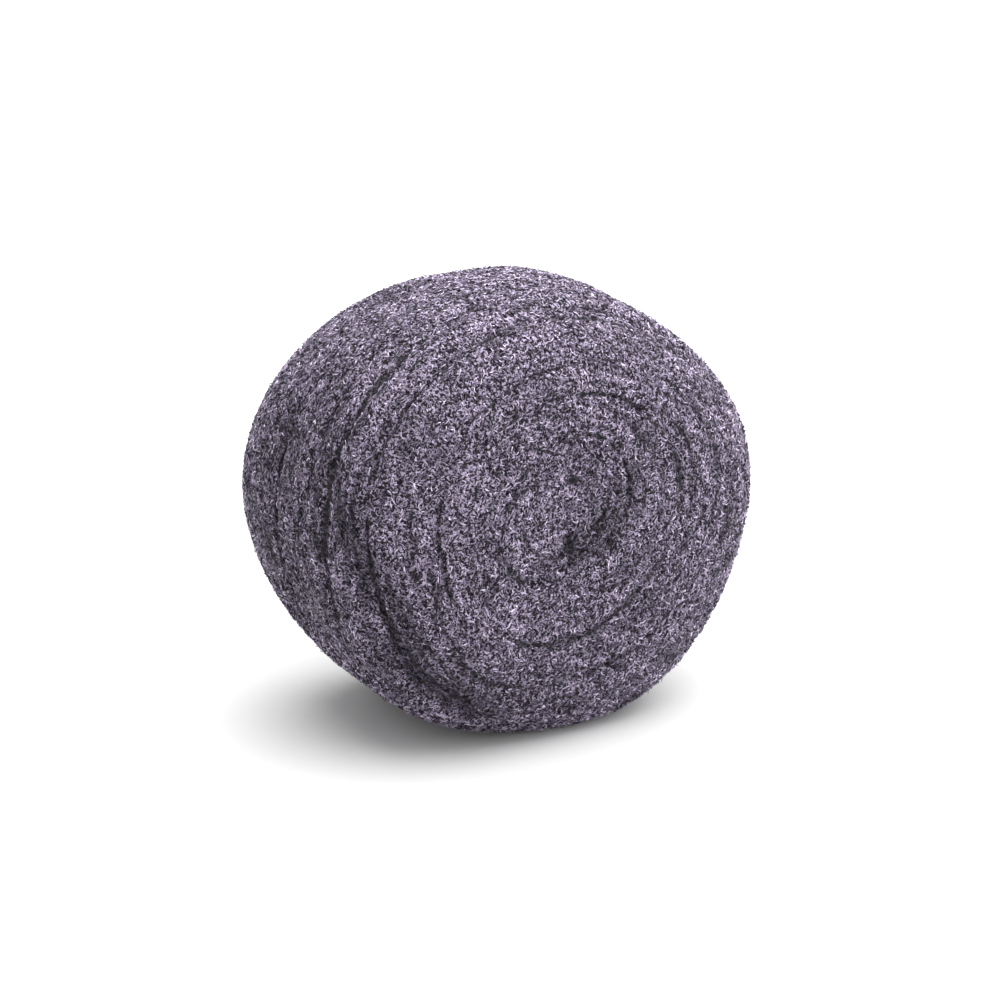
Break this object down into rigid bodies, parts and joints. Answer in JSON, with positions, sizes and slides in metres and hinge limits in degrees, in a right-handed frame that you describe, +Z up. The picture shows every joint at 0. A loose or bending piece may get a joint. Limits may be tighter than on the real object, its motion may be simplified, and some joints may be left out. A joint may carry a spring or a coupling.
{
  "type": "steel wool roll",
  "caption": "Soft roll of steel wool ribbon wound on itself with no core, lying on its side on a small flat spot, its spiral turns showing on both ends.",
  "frame": {"origin": "under the middle of the bounding box, on the surface that the roll rests on", "axes": "+Y along the roll's axis, away from the near spiral end; +Z up"},
  "size_m": [0.1546, 0.106, 0.1395],
  "materials": {
    "steel_wool": "matted fine steel fibres, grey with a faint violet cast, dark between the fibres"
  },
  "bodies": {
    "root": {"steel_wool_roll": "steel_wool"}
  },
  "joints": []
}
